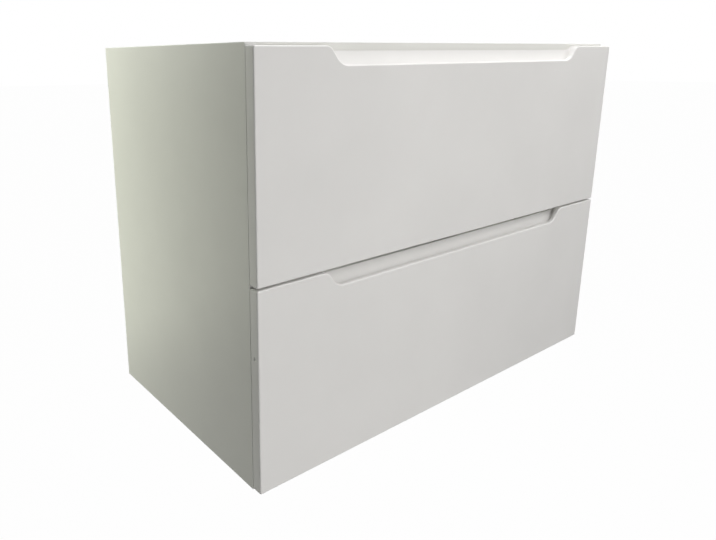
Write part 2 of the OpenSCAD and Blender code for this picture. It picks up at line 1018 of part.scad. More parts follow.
// ---- Nodes ----

side_panel(true);  // side_panel_left
side_panel(false);  // side_panel_right
bottom_panel();
top_front_rail();
top_rear_rail();
bottom_rear_rail();
cam_bolts();
cam_locks();
wood_dowels();
corner_brackets();
slide_base(true, true);  // upper_base_left
slide_base(true, false);  // upper_base_right
slide_base(false, true);  // lower_base_left
slide_base(false, false);  // lower_base_right
cabinet_screws();
hanger_case(true);  // hanger_case_left
hanger_case(false);  // hanger_case_right
adjusting_screws();
hanger_hook(true);  // hanger_hook_left
hanger_hook(false);  // hanger_hook_right
wall_plate(true);  // wall_plate_left
wall_plate(false);  // wall_plate_right
drawer_front(true);  // upper_front
inner_front(true);  // upper_inner_front
drawer_side(true, true);  // upper_side_left
drawer_side(true, false);  // upper_side_right
upper_back(true);  // upper_back_left
upper_back(false);  // upper_back_right
upper_bottom();
siphon_guard();
slide_runner(true, true);  // upper_runner_left
slide_runner(true, false);  // upper_runner_right
clip(true, true);  // upper_clip_left
clip(true, false);  // upper_clip_right
drawer_screws(true);  // upper_drawer_screws
bumpers(true);  // upper_bumpers
drawer_front(false);  // lower_front
inner_front(false);  // lower_inner_front
drawer_side(false, true);  // lower_side_left
drawer_side(false, false);  // lower_side_right
lower_back();
lower_bottom();
slide_runner(false, true);  // lower_runner_left
slide_runner(false, false);  // lower_runner_right
clip(false, true);  // lower_clip_left
clip(false, false);  // lower_clip_right
drawer_screws(false);  // lower_drawer_screws
bumpers(false);  // lower_bumpers
slide_middle(true, true);  // upper_middle_left
slide_middle(true, false);  // upper_middle_right
slide_middle(false, true);  // lower_middle_left
slide_middle(false, false);  // lower_middle_right
base_rollers(true);  // upper_base_rollers
runner_rollers(true);  // upper_runner_rollers
base_rollers(false);  // lower_base_rollers
runner_rollers(false);  // lower_runner_rollers
lever(true, true);  // upper_lever_left
lever(true, false);  // upper_lever_right
lever(false, true);  // lower_lever_left
lever(false, false);  // lower_lever_right
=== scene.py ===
"""The looks of the wall-hung vanity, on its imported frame. Blender works in metres; a length in millimetres is
multiplied by MM, and a size named in capitals is in millimetres unless its comment says otherwise."""
import json
import math

import bmesh
import bpy
from mathutils import Euler, Matrix, Vector


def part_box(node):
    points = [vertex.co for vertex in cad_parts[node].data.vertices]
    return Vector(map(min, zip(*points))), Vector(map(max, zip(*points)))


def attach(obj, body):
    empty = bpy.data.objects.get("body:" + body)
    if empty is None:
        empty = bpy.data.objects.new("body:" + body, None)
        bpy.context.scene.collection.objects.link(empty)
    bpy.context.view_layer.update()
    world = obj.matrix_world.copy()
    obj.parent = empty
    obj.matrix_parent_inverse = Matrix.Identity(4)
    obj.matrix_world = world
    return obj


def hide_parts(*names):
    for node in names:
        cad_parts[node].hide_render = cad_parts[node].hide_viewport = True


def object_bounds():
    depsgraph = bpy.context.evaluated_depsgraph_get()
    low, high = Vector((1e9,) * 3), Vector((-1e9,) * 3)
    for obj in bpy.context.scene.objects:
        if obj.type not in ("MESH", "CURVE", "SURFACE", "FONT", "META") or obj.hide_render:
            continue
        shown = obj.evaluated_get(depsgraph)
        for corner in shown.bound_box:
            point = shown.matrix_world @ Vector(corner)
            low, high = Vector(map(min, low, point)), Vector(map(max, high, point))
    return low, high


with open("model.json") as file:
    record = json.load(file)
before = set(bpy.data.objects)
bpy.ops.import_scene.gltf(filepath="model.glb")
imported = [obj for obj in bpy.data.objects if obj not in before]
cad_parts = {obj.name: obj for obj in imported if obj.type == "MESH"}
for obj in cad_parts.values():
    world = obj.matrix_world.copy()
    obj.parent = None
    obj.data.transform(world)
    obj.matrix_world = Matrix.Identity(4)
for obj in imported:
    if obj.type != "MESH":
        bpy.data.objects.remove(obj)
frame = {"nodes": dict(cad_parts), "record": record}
cad_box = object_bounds()
scene = bpy.context.scene
MM = 0.001
SIDES = {"left": -1, "right": 1}
LEVELS = ("upper", "lower")


# ---- Camera, light and floor ----

def make_camera():
    """Stands left of the cabinet, just below its top, where the photograph was taken; the shift frames the
    cabinet as the photograph does."""
    data = bpy.data.cameras.new("camera")
    camera = bpy.data.objects.new("camera", data)
    scene.collection.objects.link(camera)
    scene.camera = camera
    camera.location = (-0.80408, -0.78101, 0.56326)
    camera.rotation_euler = Euler([math.radians(a) for a in (75.6181, 0.6133, -36.4703)], "XYZ")
    data.sensor_width = 36
    data.lens = 31.1145
    data.shift_x = 0.1256
    data.shift_y = -0.0759
    scene.view_settings.view_transform = "Standard"


def softbox(name, place, target, width, height, watts, tint):
    """A rectangular soft lamp that faces the target."""
    lamp = bpy.data.lights.new(name, "AREA")
    lamp.shape = "RECTANGLE"
    lamp.size, lamp.size_y = width, height
    lamp.energy = watts
    lamp.color = srgb(tint)[:3]
    holder = bpy.data.objects.new(name, lamp)
    scene.collection.objects.link(holder)
    holder.location = place
    facing = Vector(target) - Vector(place)
    holder.rotation_euler = facing.to_track_quat("-Z", "Y").to_euler()
    holder.visible_camera = False


def srgb(code):
    """An sRGB hex colour as the linear colour that a shader takes."""
    parts = [int(code[i:i + 2], 16) / 255 for i in (1, 3, 5)]
    return (*[c / 12.92 if c <= 0.04045 else ((c + 0.055) / 1.055) ** 2.4 for c in parts], 1)


def add(tree, kind, values=None, links=None, **settings):
    """Adds a shader node: its own settings, its input values, and the outputs that feed its inputs."""
    made = tree.nodes.new("ShaderNode" + kind)
    for name, value in settings.items():
        setattr(made, name, value)
    for name, value in (values or {}).items():
        made.inputs[name].default_value = value
    for name, output in (links or {}).items():
        tree.links.new(output, made.inputs[name])
    return made


def new_material(name, values):
    """A material with its Principled shader set; returns its tree, its shader and its place in millimetres."""
    material = bpy.data.materials.new(name)
    material.use_nodes = True
    tree = material.node_tree
    shader = tree.nodes["Principled BSDF"]
    for socket, value in values.items():
        shader.inputs[socket].default_value = value
    place = add(tree, "TexCoord").outputs["Object"]
    per_mm = add(tree, "VectorMath", {1: (1000, 1000, 1000)}, {0: place}, operation="MULTIPLY").outputs[0]
    return material, tree, shader, per_mm


# ---- Materials ----

def cloudy(tree, per_mm, size, low, high, detail=3.0):
    """A soft noise whose patches are size millimetres across, between low and high."""
    noise = add(tree, "TexNoise", {"Scale": 1 / size, "Detail": detail}, {"Vector": per_mm})
    return add(tree, "MapRange", {"From Min": 0.3, "From Max": 0.7, "To Min": low, "To Max": high},
               {"Value": noise.outputs["Fac"]}).outputs["Result"]


def tinted(tree, shader, factor, first, second):
    """Base colour between two hex colours."""
    mix = add(tree, "Mix", {6: srgb(first), 7: srgb(second)}, {0: factor}, data_type="RGBA")
    tree.links.new(mix.outputs[2], shader.inputs["Base Color"])


def lacquer():
    """Satin polyurethane lacquer sprayed on milled MDF: even and grainless, with a soft sheen, a slight orange peel
    and a tone that drifts a little across the board."""
    material, tree, shader, per_mm = new_material(
        "satin_lacquer", {"IOR": 1.47, "Coat Weight": 0.05, "Coat Roughness": 0.3, "Coat IOR": 1.5})
    tinted(tree, shader, cloudy(tree, per_mm, 160, 0, 1), "#ECEBE9", "#E8E7E5")
    tree.links.new(cloudy(tree, per_mm, 35, 0.42, 0.5), shader.inputs["Roughness"])
    # Orange peel has bumps of about 3 mm
    peel = add(tree, "TexNoise", {"Scale": 1 / 3, "Detail": 1.5}, {"Vector": per_mm})
    bump = add(tree, "Bump", {"Strength": 0.05, "Distance": 0.0002}, {"Height": peel.outputs["Fac"]})
    tree.links.new(bump.outputs["Normal"], shader.inputs["Normal"])
    return material


def melamine(name, first, second):
    """Melamine paper pressed on chipboard with a pearl plate: matt, with tiny even pits that break up the highlight.
    The real pits are 0.4 mm; they are drawn at 1.2 mm so that they show."""
    material, tree, shader, per_mm = new_material(name, {"IOR": 1.5})
    tinted(tree, shader, cloudy(tree, per_mm, 120, 0, 1), first, second)
    tree.links.new(cloudy(tree, per_mm, 20, 0.455, 0.485), shader.inputs["Roughness"])
    pearl = add(tree, "TexVoronoi", {"Scale": 1 / 1.2}, {"Vector": per_mm}, feature="SMOOTH_F1")
    bump = add(tree, "Bump", {"Strength": 0.12, "Distance": 0.0002}, {"Height": pearl.outputs["Distance"]})
    tree.links.new(bump.outputs["Normal"], shader.inputs["Normal"])
    return material


def edge_band():
    """ABS edge band, hot glued and scraped flush: smoother than the board's face, with faint scraper marks along
    it."""
    material, tree, shader, per_mm = new_material("abs_edge_band", {"IOR": 1.53})
    tinted(tree, shader, cloudy(tree, per_mm, 60, 0, 1), "#ECECE9", "#E8E8E4")
    tree.links.new(cloudy(tree, per_mm, 8, 0.3, 0.38), shader.inputs["Roughness"])
    # Scraper chatter every 2.5 mm
    chatter = add(tree, "TexWave", {"Scale": 1 / 2.5 / 3, "Distortion": 1.2, "Detail": 1}, {"Vector": per_mm})
    bump = add(tree, "Bump", {"Strength": 0.04, "Distance": 0.0001}, {"Height": chatter.outputs["Fac"]})
    tree.links.new(bump.outputs["Normal"], shader.inputs["Normal"])
    return material


def raw_chipboard():
    """Chipboard where a drill has opened it: rough brown chips, pale and dark, about 2 mm across."""
    material, tree, shader, per_mm = new_material("raw_chipboard", {"Roughness": 0.9, "IOR": 1.45})
    chips = add(tree, "TexVoronoi", {"Scale": 1 / 2}, {"Vector": per_mm})
    tone = add(tree, "SeparateColor", links={"Color": chips.outputs["Color"]}).outputs["Red"]
    tinted(tree, shader, tone, "#D8BE93", "#8C6A45")
    bump = add(tree, "Bump", {"Strength": 0.6, "Distance": 0.0003}, {"Height": chips.outputs["Distance"]})
    tree.links.new(bump.outputs["Normal"], shader.inputs["Normal"])
    return material


def galvanised():
    """Cold-rolled strip, hot-dip galvanised before it was bent: grey and slightly cloudy, with faint rolling lines
    along the slide and zinc grains of about 6 mm."""
    material, tree, shader, per_mm = new_material("galvanised_strip", {"Metallic": 1.0})
    grain = add(tree, "TexVoronoi", {"Scale": 1 / 6, "Randomness": 1}, {"Vector": per_mm})
    tone = add(tree, "SeparateColor", links={"Color": grain.outputs["Color"]}).outputs["Red"]
    tinted(tree, shader, tone, "#BFC3C6", "#A9AEB2")
    tree.links.new(cloudy(tree, per_mm, 5, 0.3, 0.46), shader.inputs["Roughness"])
    lengthways = add(tree, "Mapping", {"Scale": (1, 0.02, 1)}, {"Vector": per_mm})
    lines = add(tree, "TexNoise", {"Scale": 2.0, "Detail": 2}, {"Vector": lengthways.outputs["Vector"]})
    bump = add(tree, "Bump", {"Strength": 0.08, "Distance": 0.0001}, {"Height": lines.outputs["Fac"]})
    tree.links.new(bump.outputs["Normal"], shader.inputs["Normal"])
    return material


def plated(name, first, second, rough_low, rough_high, grit):
    """Electroplated steel or die-cast zinc: a thin bright metal skin, clouded in patches, over a finely pitted ground
    whose grit is given in millimetres."""
    material, tree, shader, per_mm = new_material(name, {"Metallic": 1.0})
    tinted(tree, shader, cloudy(tree, per_mm, 7, 0, 1), first, second)
    tree.links.new(cloudy(tree, per_mm, 3, rough_low, rough_high), shader.inputs["Roughness"])
    pits = add(tree, "TexNoise", {"Scale": 1 / grit, "Detail": 4}, {"Vector": per_mm})
    bump = add(tree, "Bump", {"Strength": 0.12, "Distance": 0.0001}, {"Height": pits.outputs["Fac"]})
    tree.links.new(bump.outputs["Normal"], shader.inputs["Normal"])
    return material


def moulded(name, first, second, rough, grain, extra=None):
    """Injection-moulded plastic from a spark-eroded mould: even colour with faint flow clouds and a fine grain."""
    values = {"IOR": 1.5}
    values.update(extra or {})
    material, tree, shader, per_mm = new_material(name, values)
    tinted(tree, shader, cloudy(tree, per_mm, 25, 0, 1), first, second)
    tree.links.new(cloudy(tree, per_mm, 6, rough - 0.04, rough + 0.05), shader.inputs["Roughness"])
    skin = add(tree, "TexNoise", {"Scale": 1 / grain, "Detail": 2}, {"Vector": per_mm})
    bump = add(tree, "Bump", {"Strength": 0.1, "Distance": 0.0001}, {"Height": skin.outputs["Fac"]})
    tree.links.new(bump.outputs["Normal"], shader.inputs["Normal"])
    return material


def beech():
    """Turned beech: pale pink-brown with fine lines along the dowel and short dark flecks."""
    material, tree, shader, per_mm = new_material("turned_beech", {"IOR": 1.45, "Roughness": 0.6})
    along = add(tree, "Mapping", {"Scale": (0.08, 1, 1)}, {"Vector": per_mm})
    lines = add(tree, "TexNoise", {"Scale": 2.2, "Detail": 4}, {"Vector": along.outputs["Vector"]})
    tinted(tree, shader, lines.outputs["Fac"], "#E2CBA4", "#C4A377")
    bump = add(tree, "Bump", {"Strength": 0.15, "Distance": 0.0001}, {"Height": lines.outputs["Fac"]})
    tree.links.new(bump.outputs["Normal"], shader.inputs["Normal"])
    return material


# The material of each slot in the record, and of what shows on boards beside their slot's material
MATERIAL = {
    "front_lacquer": lacquer(),
    "carcass_board": melamine("pearl_melamine_carcass", "#EAEAE5", "#E6E6E1"),
    "drawer_board": melamine("pearl_melamine_drawer", "#EDEDEA", "#E7E7E4"),
    "edge": edge_band(),
    "chipboard": raw_chipboard(),
    "slide_steel": galvanised(),
    "zinc_steel": plated("bright_zinc_plate", "#C9CDD1", "#B4B9BE", 0.2, 0.34, 0.8),
    "yellow_zinc": plated("yellow_zinc_plate", "#D3B25C", "#BF9A63", 0.22, 0.36, 0.8),
    "zinc_casting": plated("nickelled_casting", "#BAB7B0", "#A6A39C", 0.26, 0.42, 0.5),
    "nylon": moulded("natural_nylon", "#E8E5DA", "#DEDACD", 0.45, 0.8,
                     {"Subsurface Weight": 0.15, "Subsurface Scale": 0.002}),
    "clear_rubber": moulded("clear_polyurethane", "#F2F2F0", "#E9E9E6", 0.22, 1.0, {"Transmission Weight": 0.75}),
    "grey_plastic": moulded("grey_acetal", "#8D9092", "#868A8C", 0.5, 0.6),
    "dark_plastic": moulded("dark_acetal", "#3E4144", "#383B3E", 0.45, 0.6),
    "white_plastic": moulded("white_abs", "#ECEDEB", "#E7E8E6", 0.38, 1.2),
    "beech": beech(),
}
SLOT_OF = {part["node"]: part["material_slot"] for part in frame["record"]["subparts"]}
BODY_OF = {n: body for body, names in frame["record"]["behaviour"]["bodies"].items() for n in names}


# Metres
FLOOR_R = 30
FLOOR_Z = -0.6
# Share of the floor's look that is plain white, and the world's light on the cabinet, whose white is 1
FLOOR_WHITE = 0.985
WORLD_FILL = 0.04


def seen_rays(tree):
    """1 for what the camera sees, straight, mirrored or through glass, and 0 for light on the cabinet."""
    ray = add(tree, "LightPath").outputs
    straight = add(tree, "Math", links={0: ray["Is Camera Ray"], 1: ray["Is Glossy Ray"]}, operation="ADD")
    return add(tree, "Math", links={0: straight.outputs[0], 1: ray["Is Transmission Ray"]},
               operation="ADD").outputs[0]


def studio():
    """A white floor well below the hanging cabinet, and soft light from above, in front and behind."""
    bm = bmesh.new()
    bmesh.ops.create_circle(bm, cap_ends=True, segments=64, radius=FLOOR_R)
    bmesh.ops.translate(bm, verts=bm.verts, vec=(0, 0, FLOOR_Z))
    mesh = bpy.data.meshes.new("floor")
    bm.to_mesh(mesh)
    floor = bpy.data.objects.new("floor", mesh)
    scene.collection.objects.link(floor)
    material, tree, shader, per_mm = new_material("white_floor", {"Roughness": 0.7})
    tinted(tree, shader, cloudy(tree, per_mm, 400, 0, 1), "#BDBDBD", "#B8B8B8")
    share = add(tree, "Math", {1: FLOOR_WHITE}, {0: seen_rays(tree)}, operation="MULTIPLY", use_clamp=True)
    white = add(tree, "Emission", {"Color": (1, 1, 1, 1), "Strength": 1.0})
    mix = add(tree, "MixShader", links={0: share.outputs[0], 1: shader.outputs[0], 2: white.outputs[0]})
    tree.links.new(mix.outputs[0], tree.nodes["Material Output"].inputs["Surface"])
    mesh.materials.append(material)

    world = bpy.data.worlds.new("studio")
    scene.world = world
    world.use_nodes = True
    tree = world.node_tree
    strength = add(tree, "MapRange", {"To Min": WORLD_FILL, "To Max": 1.0}, {"Value": seen_rays(tree)})
    tree.links.new(strength.outputs["Result"], tree.nodes["Background"].inputs["Strength"])
    tree.nodes["Background"].inputs["Color"].default_value = (1, 1, 1, 1)
    softbox("top_light", (0.3, 0.15, 1.9), (0.1, 0.1, 0.5), 1.2, 0.6, 12.5, "#FFFEFE")
    softbox("high_front_light", (0.15, -0.5, 1.9), (0.1, -0.1, 0.5), 1.2, 0.4, 8.5, "#FFFEFE")
    softbox("front_light", (0, -1.25, 1.4), (0, -0.2, 0.3), 1.2, 0.5, 4.2, "#FFFEFE")
    softbox("right_light", (1.1, -1.1, 1.3), (0.2, -0.2, 0.3), 0.8, 0.6, 7.0, "#FFFEFC")
    softbox("low_left_light", (-0.36, -1.3, 0.1), (-0.34, -0.2, 0.2), 0.4, 0.9, 4.7, "#FFFEFC")
    softbox("low_right_light", (1.1, -1.3, 0.1), (0.3, -0.2, 0.2), 0.6, 0.6, 0.9, "#FFFEFC")
    softbox("rear_left_light", (-0.7, 0.6, 0.36), (-0.4, 0.15, 0.32), 0.3, 1.1, 2.75, "#FBFFEA")
    softbox("high_left_light", (-0.8, 0.75, 0.75), (-0.4, 0.2, 0.5), 0.3, 0.4, 1.25, "#FDFFF4")
    softbox("rear_right_light", (0.8, 1.4, 0.5), (0.1, 0.2, 0.3), 1.0, 0.8, 9, "#FFFFFD")


# ---- Making pieces ----

def keep(bm, node, suffix, more_materials=(), sharp=50):
    """Turns a bmesh into the piece that stands for a CAD node, on its body and in its slot's material: smooth
    faces, and edges that turn by more than an angle in degrees stay sharp."""
    name, slot = node + suffix, SLOT_OF[node]
    for face in bm.faces:
        face.smooth = True
    for edge in bm.edges:
        edge.smooth = len(edge.link_faces) == 2 and edge.calc_face_angle(0) < math.radians(sharp)
    mesh = bpy.data.meshes.new(name)
    bm.to_mesh(mesh)
    bm.free()
    for key in (slot, *more_materials):
        mesh.materials.append(MATERIAL[key])
    piece = bpy.data.objects.new(name, mesh)
    scene.collection.objects.link(piece)
    weighted = piece.modifiers.new("flat faces", "WEIGHTED_NORMAL")
    weighted.keep_sharp = True
    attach(piece, BODY_OF[node])
    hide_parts(node)


def round_over(bm, edges, width, segments=3):
    """Rounds edges over by a width in millimetres."""
    bmesh.ops.bevel(bm, geom=edges, offset=width * MM, offset_type="OFFSET", segments=segments, profile=0.5,
                    affect="EDGES", material=-1, clamp_overlap=True)


def round_corners(bm, corners, reach, segments):
    """Rounds corners of a flat outline, from a reach in millimetres along its sides."""
    bmesh.ops.bevel(bm, geom=corners, offset=reach * MM, offset_type="OFFSET", segments=segments, profile=0.5,
                    affect="VERTICES", material=-1)


def draw_out(bm, extruded, run):
    """Moves the new end of an extrusion along a run in metres."""
    ends = [v for v in extruded["geom"] if isinstance(v, bmesh.types.BMVert)]
    bmesh.ops.translate(bm, verts=ends, vec=run)


# Width of the line of edge band that shows on a board's wide face, and the easing of the boards' long edges
BAND_T = 0.9
EASE = {"carcass_board": 0.6, "drawer_board": 0.8}


def whole_faces(name):
    """A copy of a CAD node's mesh with its loose triangles joined into whole flat faces."""
    bm = bmesh.new()
    bm.from_mesh(frame["nodes"][name].data)
    bmesh.ops.remove_doubles(bm, verts=bm.verts, dist=1e-6)
    bmesh.ops.dissolve_limit(bm, angle_limit=math.radians(0.5), verts=bm.verts, edges=bm.edges)
    return bm


def sharp_edges(bm, angle, shortest):
    """Edges that turn by more than an angle in degrees and are longer than a length in millimetres."""
    return [e for e in bm.edges if len(e.link_faces) == 2 and e.is_convex and e.calc_length() > shortest * MM
            and e.calc_face_angle(0) > math.radians(angle)]


def board(name):
    """A board from the CAD: its long edges are eased, its narrow sides carry edge band, which shows as a thin line on
    the wide faces, and its bores show chipboard."""
    bm = whole_faces(name)
    low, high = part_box(name)
    thin, wide, long = sorted(range(3), key=lambda i: high[i] - low[i])
    banded = (wide, long) if name.startswith("side_panel") else (wide,)
    for axis in banded:
        for at in (low[axis] + BAND_T * MM, high[axis] - BAND_T * MM):
            across = [1.0 if i == axis else 0.0 for i in range(3)]
            bmesh.ops.bisect_plane(bm, geom=bm.verts[:] + bm.edges[:] + bm.faces[:], plane_no=across,
                                   plane_co=[at * c for c in across])
    for face in bm.faces:
        normal = [abs(n) for n in face.normal]
        axis = normal.index(max(normal))
        centre = face.calc_center_median()
        from_outside = min(abs(centre[axis] - low[axis]), abs(centre[axis] - high[axis]))
        outside = normal[axis] > 0.999 and from_outside < 0.01 * MM
        band = axis != thin or any(min(centre[i] - low[i], high[i] - centre[i]) < BAND_T * MM for i in banded)
        face.material_index = 2 if not outside else int(band)
    round_over(bm, sharp_edges(bm, 60, 25), EASE[SLOT_OF[name]], 2)
    keep(bm, name, "_board", ("edge", "chipboard"))


# ---- Drawer fronts ----

FRONT_T = 16
LIP_T = 7.5
# The finger pull: its width over the ramps, its depth, its ramps' slope, and their radii at the foot and shoulder
PULL_W = 584
PULL_DEPTH = 23.5
PULL_SLOPE = math.radians(52)
FOOT_R = 22
SHOULDER_R = 14
# The groove behind the lip: below the lip's edge, past the pull's ends, and where its wall leaves the rear face
GROOVE_H = 0.7
GROOVE_END = 6
GROOVE_RUNOUT = 4.5
# How far the cutters stand clear of the front
CLEAR = 16
# Rounded edges: upright corners, face, back of the lip, and rear
CORNER_R = 2.4
ARRIS_R = 2
LIP_REAR_R = 0.25
REAR_R = 0.8
# The place of the front face, in metres
FRONT_Y = cad_box[0].y


def outline_of_pull(bm, y, top, deeper, wider, shoulder):
    """One flat outline of the finger pull at a place y in the front's thickness, set deeper below the lip's edge and
    wider at its ends. A shoulder rounds the ramps out into the top edge. Its fillets are vertex bevels."""
    fillet = math.tan(PULL_SLOPE / 2)
    top_x = PULL_W / 2 - SHOULDER_R * fillet + wider / math.sin(PULL_SLOPE)
    foot = (top_x - (PULL_DEPTH + deeper) / math.tan(PULL_SLOPE), -PULL_DEPTH - deeper)
    if shoulder:
        # The run-out climbs a hair, so that it crosses the front's top face instead of lying in it
        right = [foot, (top_x, 0), (top_x + 20, 0.2), (top_x + 20, CLEAR)]
    else:
        right = [foot, (top_x + CLEAR / math.tan(PULL_SLOPE), CLEAR)]
    spots = right + [(-x, z) for x, z in reversed(right)]
    verts = [bm.verts.new((x * MM, FRONT_Y + y * MM, top + z * MM)) for x, z in spots]
    bm.faces.new(verts)
    corners = [([verts[0], verts[-1]], FOOT_R + wider)]
    if shoulder:
        corners.append(([verts[1], verts[-2]], SHOULDER_R))
    for ends, radius in corners:
        round_corners(bm, ends, radius * fillet, 14)
    return next(f for f in bm.faces if all(abs(v.co.y - FRONT_Y - y * MM) < 1e-7 for v in f.verts))


def groove_depth(share):
    """How far the finger groove lies below the lip's edge: a shallow bottom, then a cove that leans back and runs out
    of the front's rear face a little below its top edge."""
    if share < 0.1:
        return GROOVE_H - 0.3 * (1 - share / 0.1) ** 2
    return GROOVE_H - (PULL_DEPTH + GROOVE_H - GROOVE_RUNOUT) * ((share - 0.1) / 0.9) ** 2


def less(shape, cutters):
    """The shape less its cutters, all bmeshes, as a new bmesh."""
    holders = []
    for bm in [shape, *cutters]:
        mesh = bpy.data.meshes.new("blank")
        bm.to_mesh(mesh)
        bm.free()
        holders.append(bpy.data.objects.new("blank", mesh))
        scene.collection.objects.link(holders[-1])
    for cutter in holders[1:]:
        step = holders[0].modifiers.new("cut", "BOOLEAN")
        step.operation = "DIFFERENCE"
        step.solver = "EXACT"
        step.object = cutter
    shaped = holders[0].evaluated_get(bpy.context.evaluated_depsgraph_get())
    made = bmesh.new()
    made.from_mesh(shaped.to_mesh())
    shaped.to_mesh_clear()
    for holder in holders:
        mesh = holder.data
        bpy.data.objects.remove(holder)
        bpy.data.meshes.remove(mesh)
    bmesh.ops.remove_doubles(made, verts=made.verts, dist=1e-6)
    return made


def block(low, high):
    """A bmesh box between two corners."""
    bm = bmesh.new()
    bmesh.ops.create_cube(bm, size=1)
    size = Vector(high) - Vector(low)
    bmesh.ops.scale(bm, verts=bm.verts, vec=size)
    bmesh.ops.translate(bm, verts=bm.verts, vec=(Vector(high) + Vector(low)) / 2)
    return bm


def edges_at(bm, axis, value, angle=40):
    """Sharp edges that lie in a plane across an axis."""
    return [e for e in bm.edges if len(e.link_faces) == 2 and all(abs(v.co[axis] - value) < 2e-6 for v in e.verts)
            and e.calc_face_angle(0) > math.radians(angle)]


# The dent: half its size each way, its height, and its place behind the face
DENT_SIZE = (1.1, 2.0, 3.2)
DENT_Z = 196
DENT_FROM_FACE = 8


def small_dent():
    """The cutter for the small dent that the photograph shows in the lower front's left edge."""
    bm = bmesh.new()
    bmesh.ops.create_uvsphere(bm, u_segments=16, v_segments=12, radius=MM)
    bmesh.ops.scale(bm, verts=bm.verts, vec=DENT_SIZE)
    place = (cad_box[0].x - 0.2 * MM, FRONT_Y + DENT_FROM_FACE * MM, DENT_Z * MM)
    bmesh.ops.translate(bm, verts=bm.verts, vec=place)
    return bm


def drawer_front(level):
    """A milled front: the pull through its lip, the finger groove behind the lip, and rounded arrises."""
    low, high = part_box(level + "_front")
    lip = bmesh.new()
    face = outline_of_pull(lip, -1, high.z, 0, 0, True)
    draw_out(lip, bmesh.ops.extrude_face_region(lip, geom=[face]), (0, (LIP_T + 1) * MM, 0))
    bmesh.ops.recalc_face_normals(lip, faces=lip.faces)

    groove = bmesh.new()
    steps = 14
    sections = []
    for i in range(steps + 1):
        y = LIP_T + (FRONT_T - LIP_T + 0.3) * i / steps
        sections.append(outline_of_pull(groove, y, high.z, groove_depth(i / steps), GROOVE_END, False))
    rings = [list(f.edges) for f in sections]
    bmesh.ops.delete(groove, geom=sections[1:-1], context="FACES_ONLY")
    for first, second in zip(rings, rings[1:]):
        bmesh.ops.bridge_loops(groove, edges=first + second)
    bmesh.ops.recalc_face_normals(groove, faces=groove.faces)

    bm = less(block(low, high), [lip, groove])
    bmesh.ops.dissolve_limit(bm, angle_limit=math.radians(0.3), verts=bm.verts, edges=bm.edges)
    corners = [e for e in edges_at(bm, 0, low.x) + edges_at(bm, 0, high.x)
               if abs(e.verts[0].co.z - e.verts[1].co.z) < 1e-6]
    round_over(bm, corners, CORNER_R, 3)
    round_over(bm, edges_at(bm, 1, low.y), ARRIS_R, 4)
    round_over(bm, [e for e in edges_at(bm, 1, low.y + LIP_T * MM) if e.is_convex], LIP_REAR_R, 2)
    round_over(bm, edges_at(bm, 1, high.y), REAR_R, 2)
    if level == "lower":
        bm = less(bm, [small_dent()])
    keep(bm, level + "_front", "_panel", sharp=35)


# ---- Turned parts: screws, cam locks, bumpers ----

# Radius and height of the head, radius of the shank, and width of the cross recess
EURO_SCREW = {"head_r": 4, "head_h": 1.3, "shank_r": 3, "drive": 4.6}
FRONT_SCREW = {"head_r": 4, "head_h": 2, "shank_r": 2, "drive": 4.6}
SIDE_SCREW = {"head_r": 3.5, "head_h": 3, "shank_r": 2, "drive": 4}
CLIP_SCREW = {"head_r": 3.5, "head_h": 1.5, "shank_r": 1.75, "drive": 3.8}
BRACKET_SCREW = {"head_r": 3.6, "head_h": 1.8, "shank_r": 2, "drive": 4}
# Shank lengths of the Euro screws in the slides and in the hanger cases
SHORT_L = 12.4
LONG_L = 30.9


def turned(section, segments=24):
    """A shape turned about Z from its half section, given as (radius, height) in millimetres from axis to axis."""
    bm = bmesh.new()
    verts = [bm.verts.new((r * MM, 0, z * MM)) for r, z in section]
    edges = [bm.edges.new(pair) for pair in zip(verts, verts[1:])]
    bmesh.ops.spin(bm, geom=verts + edges, cent=(0, 0, 0), axis=(0, 0, 1), dvec=(0, 0, 0), angle=math.tau,
                   steps=segments, use_merge=True, use_duplicate=False)
    bmesh.ops.remove_doubles(bm, verts=bm.verts, dist=1e-7)
    bmesh.ops.recalc_face_normals(bm, faces=bm.faces)
    return bm


def cross_recessed(bm, top, size, width, depth):
    """Sinks a tapered cross into a turned part whose top is at a height in millimetres."""
    arms = []
    for across in (Vector((size, width, 0)), Vector((width, size, 0))):
        half = across * MM / 2
        arm = block(-half + Vector((0, 0, (top - depth) * MM)), half + Vector((0, 0, (top + 1) * MM)))
        tip = [v for v in arm.verts if v.co.z < top * MM]
        bmesh.ops.scale(arm, verts=tip, vec=(0.55, 0.55, 1))
        arms.append(arm)
    return less(bm, arms)


def pan_screw(shank_l, head_r, head_h, shank_r, drive):
    """A pan head with a cross recess, its seat at height 0 and its shank below."""
    bm = turned([(0, head_h), (head_r * 0.55, head_h * 0.97), (head_r * 0.85, head_h * 0.82),
                 (head_r, head_h * 0.45), (head_r, 0), (shank_r, 0), (shank_r, 1 - shank_l),
                 (shank_r * 0.4, -shank_l), (0, -shank_l)])
    return cross_recessed(bm, head_h, drive, drive * 0.22, min(head_h * 0.8, 1.8))


def flush_screw(shank_l, head_r, head_h, shank_r, drive):
    """A countersunk head with a cross recess, its flat top at height 0 and its shank below."""
    bm = turned([(0, 0), (head_r * 0.94, 0), (head_r, -0.25), (head_r * 0.96, -0.5), (shank_r, -head_h),
                 (shank_r, 1 - shank_l), (shank_r * 0.4, -shank_l), (0, -shank_l)])
    return cross_recessed(bm, 0, drive, drive * 0.22, 1.8)


